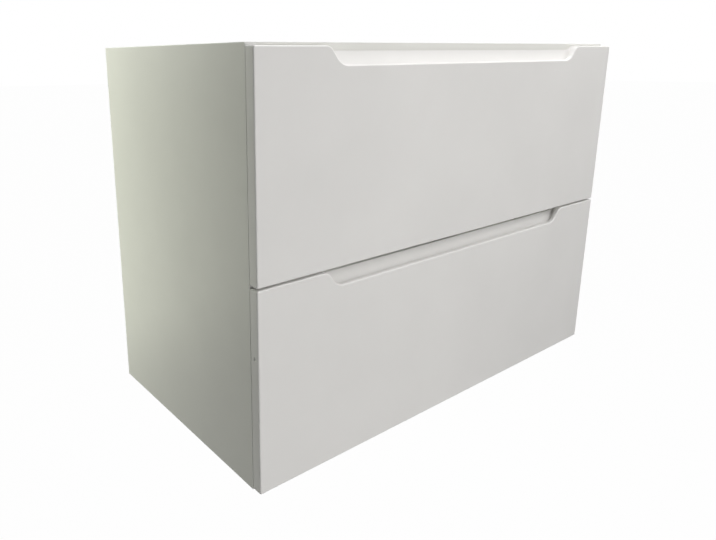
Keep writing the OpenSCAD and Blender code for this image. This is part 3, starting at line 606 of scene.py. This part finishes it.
def lumps(name):
    """The lowest and highest corner of each separate solid in a CAD node."""
    bm = whole_faces(name)
    left = set(bm.verts)
    found = []
    while left:
        edge_of_lump = [left.pop()]
        spots = []
        while edge_of_lump:
            vert = edge_of_lump.pop()
            spots.append(vert.co.copy())
            for edge in vert.link_edges:
                other = edge.other_vert(vert)
                if other in left:
                    left.remove(other)
                    edge_of_lump.append(other)
        found.append([Vector(pick(c[i] for c in spots) for i in range(3)) for pick in (min, max)])
    bm.free()
    return sorted(found, key=lambda lump: tuple(round(c, 5) for c in lump[0]))


def set_out(kinds):
    """One bmesh with a copy of each pattern at each of its places; a place is a spot, the way that the pattern's top
    faces, and a turn in degrees."""
    made = bmesh.new()
    for pattern, places in kinds:
        mesh = bpy.data.meshes.new("pattern")
        pattern.to_mesh(mesh)
        pattern.free()
        for spot, facing, turn in places:
            first = len(made.verts)
            made.from_mesh(mesh)
            made.verts.ensure_lookup_table()
            turning = Vector((0, 0, 1)).rotation_difference(Vector(facing)).to_matrix().to_4x4()
            matrix = Matrix.Translation(spot) @ turning @ Matrix.Rotation(math.radians(turn), 4, "Z")
            bmesh.ops.transform(made, matrix=matrix, verts=made.verts[first:])
        bpy.data.meshes.remove(mesh)
    return made


def cabinet_screws():
    """Euro screws that hold the slides and the hanger cases to the side panels; their heads face inwards."""
    long, short = [], []
    for i, (low, high) in enumerate(lumps("cabinet_screws")):
        side = 1 if low.x > 0 else -1
        middle = (low + high) / 2
        head_x = low.x if side > 0 else high.x
        seat = Vector((head_x + side * EURO_SCREW["head_h"] * MM, middle.y, middle.z))
        length = (high.x - low.x) / MM
        (long if length > 20 else short).append((seat, (-side, 0, 0), i * 37))
    keep(set_out([(pan_screw(SHORT_L, **EURO_SCREW), short), (pan_screw(LONG_L, **EURO_SCREW), long)]),
         "cabinet_screws", "_set")


def drawer_screws(level):
    """Pan heads inside the front, countersunk heads in the sides, and small pan heads under the clips."""
    front, box, clip = [], [], []
    for i, (low, high) in enumerate(lumps(level + "_drawer_screws")):
        size = high - low
        middle = (low + high) / 2
        turn = i * 41
        if size.y > size.x and size.y > size.z:
            front.append((Vector((middle.x, high.y - FRONT_SCREW["head_h"] * MM, middle.z)), (0, 1, 0), turn))
            front_l = size.y / MM - FRONT_SCREW["head_h"]
        elif size.x > size.z:
            side = 1 if middle.x > 0 else -1
            box.append((Vector((high.x if side > 0 else low.x, middle.y, middle.z)), (side, 0, 0), turn))
            box_l = size.x / MM
        else:
            clip.append((Vector((middle.x, middle.y, low.z + CLIP_SCREW["head_h"] * MM)), (0, 0, -1), turn))
            clip_l = size.z / MM - CLIP_SCREW["head_h"]
    keep(set_out([(pan_screw(front_l, **FRONT_SCREW), front), (flush_screw(box_l, **SIDE_SCREW), box),
                  (pan_screw(clip_l, **CLIP_SCREW), clip)]), level + "_drawer_screws", "_set")


def cam_locks():
    """Die-cast cam locks, flush in their pockets: a raised rim round a sunk face with a deep cross."""
    places = []
    for i, (low, high) in enumerate(lumps("cam_locks")):
        size = high - low
        middle = (low + high) / 2
        axis = min(range(3), key=lambda k: size[k])
        if axis == 2:
            places.append((Vector((middle.x, middle.y, high.z)), (0, 0, 1), i * 23))
            height = size.z / MM
        else:
            # The front rail's locks face the rear, the rear rails' locks face the front
            facing = 1 if middle.y < 0 else -1
            places.append((Vector((middle.x, high.y if facing > 0 else low.y, middle.z)), (0, facing, 0), i * 23))
            height = size.y / MM
    lock = turned([(0, -0.5), (5.6, -0.5), (5.9, -0.05), (6.2, 0), (7.1, 0), (7.4, -0.3), (7.4, 0.4 - height),
                   (7, -height), (0, -height)], 36)
    keep(set_out([(cross_recessed(lock, -0.5, 9, 1.7, 2.2), places)]), "cam_locks", "_set")


def adjusting_screws():
    """The screws that level the cabinet: large cross recesses that face the open front of the hanger case."""
    places = [(Vector(((low.x + high.x) / 2, low.y, (low.z + high.z) / 2)), (0, -1, 0), i * 29)
              for i, (low, high) in enumerate(lumps("adjusting_screws"))]
    low, high = lumps("adjusting_screws")[0]
    length = (high.y - low.y) / MM
    screw = turned([(0, 0), (3.3, 0), (3.9, -0.6), (3.9, -1.6), (3.4, -1.9), (3.4, 0.3 - length), (3.1, -length),
                    (0, -length)], 32)
    keep(set_out([(cross_recessed(screw, 0, 5.5, 1.3, 1.9), places)]), "adjusting_screws", "_set")


def bumpers(level):
    """Clear domed dots that stick to the back of the front and meet the carcass."""
    places = []
    for low, high in lumps(level + "_bumpers"):
        places.append((Vector(((low.x + high.x) / 2, low.y, (low.z + high.z) / 2)), (0, 1, 0), 0))
    dot = turned([(0, 0.8), (1.6, 0.77), (2.8, 0.62), (3.6, 0.36), (3.95, 0.1), (4, 0), (0, 0)], 24)
    keep(set_out([(dot, places)]), level + "_bumpers", "_set")


# ---- Parts bent from strip, cut from plate or moulded ----

# Strip and plate: thickness, and outer radius of the bends
FIXED_T, FIXED_BEND = 1.5, 2.2
BETWEEN_T, BETWEEN_BEND = 1.2, 1.7
MOVING_T, MOVING_BEND = 1.2, 1.8
BRACKET_T, BRACKET_BEND = 2, 3
PLATE_T, PLATE_BEND = 2.5, 3.4
# Fixed member: height of the flange, and places along it of its screws, its slots and its floor's holes
FLANGE_H = 30
FLANGE_SCREWS = (37, 165, 293)
FLANGE_SLOTS = (62, 96, 196, 228, 318)
FLOOR_HOLES = (20, 110, 250, 330)
# Roller cages: rollers in each, their pitch and their length
ROLLERS = 6
ROLLER_PITCH = 20
ROLLER_L = 10
# The lever's pin: its place from the clip's inner front corner, and its radius
PIN_X, PIN_Y = 16, 30
PIN_R = 2
# The hanger's hook: height of its shank and thickness of its nose
HOOK_SHANK_H = 18
HOOK_NOSE_T = 3.2
# The trap guard: outer bend of its corners, its wall, its rim, and its foot's reach and height
GUARD_BEND = 30
GUARD_T = 3
RIM_T, RIM_H = 5, 4
FOOT_OUT, FOOT_H = 8, 1.8


def in_mm(name):
    """A CAD node's lowest and highest corner in millimetres."""
    return [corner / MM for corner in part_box(name)]


def bent(path, run, thick, inward, steps=5):
    """Sheet bent along a path of (corner, outer bend) pairs and run out along a vector, in millimetres. The sheet's
    thickness lies inward of the path's first side."""
    bm = bmesh.new()
    verts = [bm.verts.new(Vector(corner) * MM) for corner, bend in path]
    edges = [bm.edges.new(pair) for pair in zip(verts, verts[1:])]
    draw_out(bm, bmesh.ops.extrude_edge_only(bm, edges=edges), Vector(run) * MM)
    first = verts[0].link_faces[0]
    first.normal_update()
    if first.normal.dot(Vector(inward)) > 0:
        bmesh.ops.reverse_faces(bm, faces=bm.faces)
    for vert, (corner, bend) in zip(verts[1:-1], path[1:-1]):
        fold = [e for e in vert.link_edges if len(e.link_faces) == 2]
        round_over(bm, fold, bend, steps)
    bmesh.ops.solidify(bm, geom=bm.faces[:], thickness=thick * MM)
    return bm


def cut_out(outline, through):
    """Plate cut to an outline of (corner, rounding) pairs, as thick as a vector through it, in millimetres."""
    bm = bmesh.new()
    verts = [bm.verts.new(Vector(corner) * MM) for corner, rounding in outline]
    bm.faces.new(verts)
    for vert, (corner, rounding) in zip(verts, outline):
        if rounding:
            round_corners(bm, [vert], rounding, 6)
    draw_out(bm, bmesh.ops.extrude_face_region(bm, geom=bm.faces[:]), Vector(through) * MM)
    bmesh.ops.recalc_face_normals(bm, faces=bm.faces)
    return bm


def brick(low, high, round_mm=0.0):
    """A block between two corners in millimetres, with rounded edges."""
    bm = block(Vector(low) * MM, Vector(high) * MM)
    if round_mm:
        round_over(bm, bm.edges[:], round_mm, 3)
    return bm


def drill(spot, axis, radius, length, mouth=0.0):
    """A cutter for a round hole that starts at a spot and runs along an axis, in millimetres; mouth widens its start
    into a countersink."""
    section = [(0, 0), (radius + mouth, 0), (radius, mouth), (radius, length), (0, length)]
    if not mouth:
        del section[2]
    bm = turned(section, 24)
    turning = Vector((0, 0, 1)).rotation_difference(Vector(axis)).to_matrix().to_4x4()
    bmesh.ops.transform(bm, matrix=Matrix.Translation(Vector(spot) * MM) @ turning, verts=bm.verts)
    return bm


def clip_corners(bm, width, test):
    """Rounds the corners of a sheet: the short edges through its thickness whose middle, in millimetres, passes."""
    corners = [e for e in bm.edges if e.is_convex and len(e.link_faces) == 2 and e.calc_length() < 3.5 * MM
               and e.calc_face_angle(0) > math.radians(80) and test((e.verts[0].co + e.verts[1].co) / 2 / MM)]
    round_over(bm, corners, width, 5)


def deburr(bm, width=0.2):
    """Breaks the sharp outer edges a little."""
    round_over(bm, sharp_edges(bm, 50, 0.3), width, 1)
    return bm


def together(parts):
    """One bmesh from several."""
    made = bmesh.new()
    for part in parts:
        mesh = bpy.data.meshes.new("part")
        part.to_mesh(mesh)
        part.free()
        made.from_mesh(mesh)
        bpy.data.meshes.remove(mesh)
    return made


def handed(bm, side):
    """A right-hand part turned into a left-hand one where side is -1."""
    if side < 0:
        bmesh.ops.scale(bm, verts=bm.verts, vec=(-1, 1, 1))
        bmesh.ops.reverse_faces(bm, faces=bm.faces)
    return bm


def keep_pair(bm, name, hand, suffix):
    """Keeps a right-hand part as the piece for its own hand."""
    keep(handed(bm, SIDES[hand]), f"{name}_{hand}", suffix, sharp=40)


def slide_fixed(level, hand):
    """The slide's fixed member: a flange with screw holes and slots, a floor and a low lip, folded from one strip."""
    low, high = in_mm(level + "_base_right")
    y, z, run = low.y, low.z, (0, high.y - low.y, 0)
    bm = bent([((high.x, y, z + FLANGE_H), 0), ((high.x, y, z), FIXED_BEND), ((low.x, y, z), FIXED_BEND),
               ((low.x, y, z + 6), 0)], run, FIXED_T, (-1, 0, 0))
    clip_corners(bm, 4, lambda c: c.z > z + FLANGE_H - 1)
    clip_corners(bm, 2, lambda c: c.z > z + 5.9 and c.x < low.x + 2)
    cutters = [drill((high.x - 3, y + at, z + 22), (1, 0, 0), 3.1, 5) for at in FLANGE_SCREWS]
    for at in FLANGE_SLOTS:
        slot = [((high.x - 3, y + at, z + 19.8), 2.15), ((high.x - 3, y + at + 12, z + 19.8), 2.15),
                ((high.x - 3, y + at + 12, z + 24.2), 2.15), ((high.x - 3, y + at, z + 24.2), 2.15)]
        cutters.append(cut_out(slot, (5, 0, 0)))
    cutters += [drill((high.x - 11, y + at, z - 1), (0, 0, 1), 2.6, 4) for at in FLOOR_HOLES]
    bm = deburr(less(bm, cutters))
    # The stop at the rear end, bent up from the floor
    stop = cut_out([((low.x + 6, high.y - 1.6, z + 1), 0), ((low.x + 20, high.y - 1.6, z + 1), 0),
                    ((low.x + 20, high.y - 1.6, z + 6), 1.5), ((low.x + 6, high.y - 1.6, z + 6), 1.5)], (0, 1.4, 0))
    keep_pair(together([bm, deburr(stop)]), level + "_base", hand, "_strip")


def slide_between(level, hand):
    """The slide's middle member, which rolls between the other two."""
    low, high = in_mm(level + "_middle_right")
    bm = bent([((high.x, low.y, low.z), 0), ((high.x, low.y, high.z), BETWEEN_BEND),
               ((low.x, low.y, high.z), BETWEEN_BEND), ((low.x, low.y, low.z), 0)],
              (0, high.y - low.y, 0), BETWEEN_T, (-1, 0, 0))
    clip_corners(bm, 1.2, lambda c: c.z < low.z + 1)
    keep_pair(deburr(bm), level + "_middle", hand, "_strip")


def slide_moving(level, hand):
    """The drawer's member: a channel under the drawer, with the tongue and pin at its rear that enter the drawer's
    back."""
    low, high = in_mm(level + "_runner_right")
    y, z = low.y, low.z
    roof = z + 10
    bm = bent([((high.x, y, z), 0), ((high.x, y, roof), MOVING_BEND), ((low.x, y, roof), MOVING_BEND),
               ((low.x, y, z), 0)], (0, high.y - y - 0.2, 0), MOVING_T, (-1, 0, 0))
    clip_corners(bm, 2.5, lambda c: c.z < z + 1 and c.y < y + 1)
    middle = (low.x + high.x) / 2
    cutters = [drill((middle, y + at, roof - 3), (0, 0, 1), 2.1, 5) for at in (60, 150, 240)]
    slot = [((middle - 4, y + 14, roof - 3), 1.5), ((middle + 4, y + 14, roof - 3), 1.5),
            ((middle + 4, y + 32, roof - 3), 1.5), ((middle - 4, y + 32, roof - 3), 1.5)]
    bm = deburr(less(bm, cutters + [cut_out(slot, (0, 0, 5))]))
    back = high.y - 1.5
    tongue = cut_out([((middle - 3, back, roof - 0.8), 0), ((middle + 3, back, roof - 0.8), 0),
                      ((middle + 3, back, high.z), 2), ((middle - 3, back, high.z), 2)], (0, 1.5, 0))
    pin = turned([(0, 0), (2.1, 0), (2.9, 1.6), (2.9, 10.75), (0, 10.75)], 28)
    pin = set_out([(pin, [(Vector((middle, back - 10, z + 18)) * MM, (0, 1, 0), 0)])])
    keep_pair(together([bm, deburr(tongue), pin]), level + "_runner", hand, "_strip")


def roller_cages(name):
    """Cages that hold steel rollers at an even pitch between two members of a slide."""
    parts = []
    for low, high in lumps(name):
        low, high = low / MM, high / MM
        middle = (low + high) / 2
        radius = (high.z - low.z) / 2
        corners = [(low.x, low.y), (high.x, low.y), (high.x, high.y), (low.x, high.y)]
        plate = cut_out([((x, y, middle.z - 0.7), 1.5) for x, y in corners], (0, 0, 1.4))
        spots = [Vector((middle.x - ROLLER_L / 2, low.y + ROLLER_PITCH * (i + 0.5), middle.z)) for i in range(ROLLERS)]
        roller = turned([(0, 0), (radius - 0.4, 0), (radius, 0.4), (radius, ROLLER_L - 0.4),
                         (radius - 0.4, ROLLER_L), (0, ROLLER_L)], 28)
        rollers = set_out([(roller, [(spot * MM, (1, 0, 0), 0) for spot in spots])])
        for face in rollers.faces:
            face.material_index = 1
        parts += [deburr(plate), rollers]
    keep(together(parts), name, "_set", ("zinc_steel",), 40)


def corner_brackets():
    """Steel angles in the carcass's top corners: one leg screwed to the side panel, the other holed for the
    basin's screw."""
    right = []
    for low, high in lumps("corner_brackets"):
        low, high = low / MM, high / MM
        if low.x < 0:
            continue
        bm = bent([((high.x, low.y, low.z), 0), ((high.x, low.y, high.z), BRACKET_BEND),
                   ((low.x, low.y, high.z), 0)], (0, high.y - low.y, 0), BRACKET_T, (-1, 0, 0))
        clip_corners(bm, 5, lambda c: c.z < low.z + 1 or c.x < low.x + 1)
        y = (low.y + high.y) / 2
        cutters = [drill((high.x - 18, y, high.z - 4), (0, 0, 1), 2.75, 6)]
        cutters += [drill((high.x - 4, y + at, low.z + 9), (1, 0, 0), 2.3, 5) for at in (-7, 7)]
        right.append(deburr(less(bm, cutters)))
        seats = [(Vector((high.x - BRACKET_T, y + at, low.z + 9)) * MM, (-1, 0, 0), 25 + at) for at in (-7, 7)]
        right.append(set_out([(pan_screw(14, **BRACKET_SCREW), seats)]))
    both = together(right)
    left = handed(both.copy(), -1)
    keep(together([both, left]), "corner_brackets", "_set", sharp=40)


def hanger_case(hand):
    """Die-cast case that carries the hanger's hook: rounded edges, and pockets between ribs on its inner face."""
    low, high = in_mm("hanger_case_right")
    bm = brick(low, high, 1.2)
    hollow = brick((high.x - 14, low.y + 4, low.z + 18), (high.x - 6, high.y + 2, high.z - 8))
    screw_holes = [drill((low.x - 1, y, low.z + 8), (1, 0, 0), 3.1, 22) for y in (low.y + 10, high.y - 10)]
    adjuster_holes = [drill((high.x - 10, low.y - 1, low.z + at), (0, 1, 0), 4, 7) for at in (28, 50)]
    pocket_x = low.x + 1.6
    pockets = [brick((low.x - 1, low.y + at, low.z + 18), (pocket_x, low.y + at + 14.5, high.z - 6), 0.5)
               for at in (5, 22.5, 40)]
    pockets.append(brick((low.x - 1, low.y + 17, low.z + 4), (pocket_x, high.y - 17, low.z + 13), 0.5))
    cutters = [hollow, *screw_holes, *adjuster_holes, *pockets]
    keep_pair(less(bm, cutters), "hanger_case", hand, "_casting")


def hanger_hook(hand):
    """The hook, stamped from plate: a shank in the case and a nose behind the wall plate's lip."""
    low, high = in_mm("hanger_hook_right")
    under = high.z - HOOK_SHANK_H
    nose = high.y - HOOK_NOSE_T
    bm = cut_out([((low.x, low.y, under), 1.5), ((low.x, low.y, high.z), 3), ((low.x, high.y, high.z), 6),
                  ((low.x, high.y, low.z), 1.2), ((low.x, nose, low.z), 1.2), ((low.x, nose, under), 0.6)],
                 (high.x - low.x, 0, 0))
    keep_pair(deburr(bm, 0.3), "hanger_hook", hand, "_plate")


def wall_plate(hand):
    """The plate that is screwed to the wall, folded forward at its top into the lip that the hook hangs on."""
    low, high = in_mm("wall_plate_right")
    shelf = high.z - 20.5
    face = high.y - PLATE_T
    bm = bent([((low.x, low.y, high.z), 0), ((low.x, low.y, shelf), PLATE_BEND),
               ((low.x, face, shelf), PLATE_BEND - PLATE_T), ((low.x, face, low.z), 0)],
              (high.x - low.x, 0, 0), PLATE_T, (0, 1, 0))
    clip_corners(bm, 6, lambda c: c.z < low.z + 1)
    clip_corners(bm, 2.5, lambda c: c.z > high.z - 1)
    middle = (low.x + high.x) / 2
    wall_holes = [drill((middle, face - 0.01, high.z - at), (0, 1, 0), 3.5, 4, 1.4) for at in (36, 68)]
    small_holes = [drill((middle + x, face - 1.01, high.z - at), (0, 1, 0), 2.2, 5)
                   for x in (-21, 21) for at in (32, 72)]
    keep_pair(deburr(less(bm, wall_holes + small_holes)), "wall_plate", hand, "_strip")


def siphon_guard():
    """Moulded wall round the drain trap, open at the rear, with a rim along its top and a foot on the drawer's
    bottom."""
    low, high = in_mm("siphon_guard")
    foot_z = in_mm("upper_bottom")[1].z
    back_of_drawer = in_mm("upper_back_left")[0].y

    def wall(out, bottom, top, thick, rear):
        """A wall that stands a distance outside the guard's own face."""
        front, half, bend = low.y - out, high.x + out, GUARD_BEND + out
        return bent([((-half, rear, bottom), 0), ((-half, front, bottom), bend), ((half, front, bottom), bend),
                     ((half, rear, bottom), 0)], (0, 0, top - bottom), thick, (1, 0, 0), 14)

    main = wall(0, low.z, high.z - 0.4, GUARD_T, high.y)
    rim = wall(-0.05, high.z - RIM_H, high.z, RIM_T, high.y)
    round_over(rim, sharp_edges(rim, 60, 1), 1.2, 4)
    foot = wall(FOOT_OUT, foot_z - 0.5, foot_z + FOOT_H, FOOT_OUT - 0.5, back_of_drawer - 0.2)
    round_over(foot, sharp_edges(foot, 60, 1), 0.7, 2)
    keep(together([deburr(main, 0.4), rim, foot]), "siphon_guard", "_moulding", sharp=40)


def clip(level, hand):
    """The moulded clip under the drawer's bottom: a holed plate, two walls, three ribs and the lever's pin."""
    low, high = in_mm(f"{level}_clip_right")
    plate_z = high.z - 3
    corners = [((low.x, low.y), 3), ((high.x, low.y), 3), ((high.x, high.y), 1), ((low.x, high.y), 1)]
    plate = cut_out([((x, y, plate_z), rounding) for (x, y), rounding in corners], (0, 0, 3))
    middles = [(lump[0] + lump[1]) / 2 / MM for lump in lumps(level + "_drawer_screws")]
    screws = [c for c in middles if low.x < c.x < high.x and low.y < c.y < high.y]
    plate = less(plate, [drill((c.x, c.y, plate_z - 1), (0, 0, 1), CLIP_SCREW["shank_r"], 5) for c in screws])
    half = (low.y + high.y) / 2
    foot_z, root_z = high.z - 9, plate_z + 0.5
    walls = [brick((low.x, half, foot_z), (low.x + 2, high.y, root_z), 0.5),
             brick((low.x, high.y - 2, foot_z), (high.x, high.y, root_z), 0.5)]
    ribs = [brick((low.x + at, high.y - 20, plate_z - 2.4), (low.x + at + 1.3, high.y - 1, root_z), 0.4)
            for at in (19, 24, 30)]
    pin_l = high.z - low.z - 1.2
    pin = turned([(0, 0), (3, 0), (3.4, 0.4), (3.4, 1), (PIN_R, 1), (PIN_R, pin_l), (0, pin_l)], 28)
    pin = set_out([(pin, [(Vector((low.x + PIN_X, low.y + PIN_Y, foot_z)) * MM, (0, 0, 1), 0)])])
    keep_pair(together([deburr(plate, 0.4), *walls, *ribs, pin]), level + "_clip", hand, "_moulding")


def lever(level, hand):
    """The release lever: a hub on the clip's pin, an arm to a ribbed finger pad, and a nose towards the slide."""
    low, high = in_mm(f"{level}_lever_right")
    corner = in_mm(f"{level}_clip_right")[0]
    pin_x, pin_y = corner.x + PIN_X, corner.y + PIN_Y
    tip = low.y
    outline = [((-7, tip), 2.5), ((7, tip), 2.5), ((7, tip + 7), 2), ((3, tip + 9.5), 2), ((3, pin_y - 3), 1.5),
               ((high.x - pin_x, pin_y - 3), 2), ((high.x - pin_x, pin_y + 3), 2), ((3, pin_y + 3), 1.5),
               ((0, pin_y + 5), 2), ((-5, pin_y + 3), 2), ((-5, pin_y - 4), 2), ((-3, pin_y - 8), 2),
               ((-3, tip + 9.5), 2), ((-7, tip + 7), 2)]
    arm = cut_out([((pin_x + x, y, low.z), rounding) for (x, y), rounding in outline], (0, 0, high.z - low.z))
    arm = less(arm, [drill((pin_x, pin_y, low.z - 1), (0, 0, 1), PIN_R + 0.06, 6)])
    grips = [brick((pin_x - 5.5, tip + at, low.z - 0.5), (pin_x + 5.5, tip + at + 0.8, low.z + 0.5), 0.3)
             for at in (1.2, 2.9, 4.6, 6.3)]
    keep_pair(together([deburr(arm, 0.6), *grips]), level + "_lever", hand, "_moulding")


def cam_bolts():
    """Connecting bolts: a thread in the side panel, a collar, and a waisted ball end that the cam lock pulls on."""
    places = []
    for low, high in lumps("cam_bolts"):
        side = 1 if low.x > 0 else -1
        middle = (low + high) / 2
        inner = low.x if side > 0 else high.x
        places.append((Vector((inner, middle.y, middle.z)), (side, 0, 0), 0))
    section = [(0, 0), (2, 0.2), (3, 1), (3.4, 2.2), (3.4, 3.2), (2, 4), (2, 7), (3.3, 8), (3.5, 8.4), (3.5, 25.8),
               (3.2, 26.3)]
    for i in range(5):
        section += [(2.0, 26.6 + 2.1 * i), (2.5, 27.6 + 2.1 * i)]
    section += [(1.6, 37.2), (0, 37.3)]
    keep(set_out([(turned(section, 20), places)]), "cam_bolts", "_set")


def wood_dowels():
    """Turned dowels with chamfered ends."""
    low, high = lumps("wood_dowels")[0]
    length = (high.x - low.x) / MM
    radius = (high.z - low.z) / 2 / MM
    pattern = turned([(0, 0), (radius - 1.2, 0), (radius, 1.4), (radius, length - 1.4), (radius - 1.2, length),
                      (0, length)], 28)
    places = [(Vector((low.x, (low.y + high.y) / 2, (low.z + high.z) / 2)), (1, 0, 0), 0)
              for low, high in lumps("wood_dowels")]
    keep(set_out([(pattern, places)]), "wood_dowels", "_set")


make_camera()
studio()
cabinet_screws()
cam_locks()
adjusting_screws()
cam_bolts()
wood_dowels()
corner_brackets()
siphon_guard()
for level in LEVELS:
    drawer_front(level)
    drawer_screws(level)
    bumpers(level)
    roller_cages(level + "_base_rollers")
    roller_cages(level + "_runner_rollers")
    for hand in SIDES:
        slide_fixed(level, hand)
        slide_between(level, hand)
        slide_moving(level, hand)
        clip(level, hand)
        lever(level, hand)
for hand in SIDES:
    hanger_case(hand)
    hanger_hook(hand)
    wall_plate(hand)
for name in frame["nodes"]:
    if SLOT_OF[name] in EASE:
        board(name)
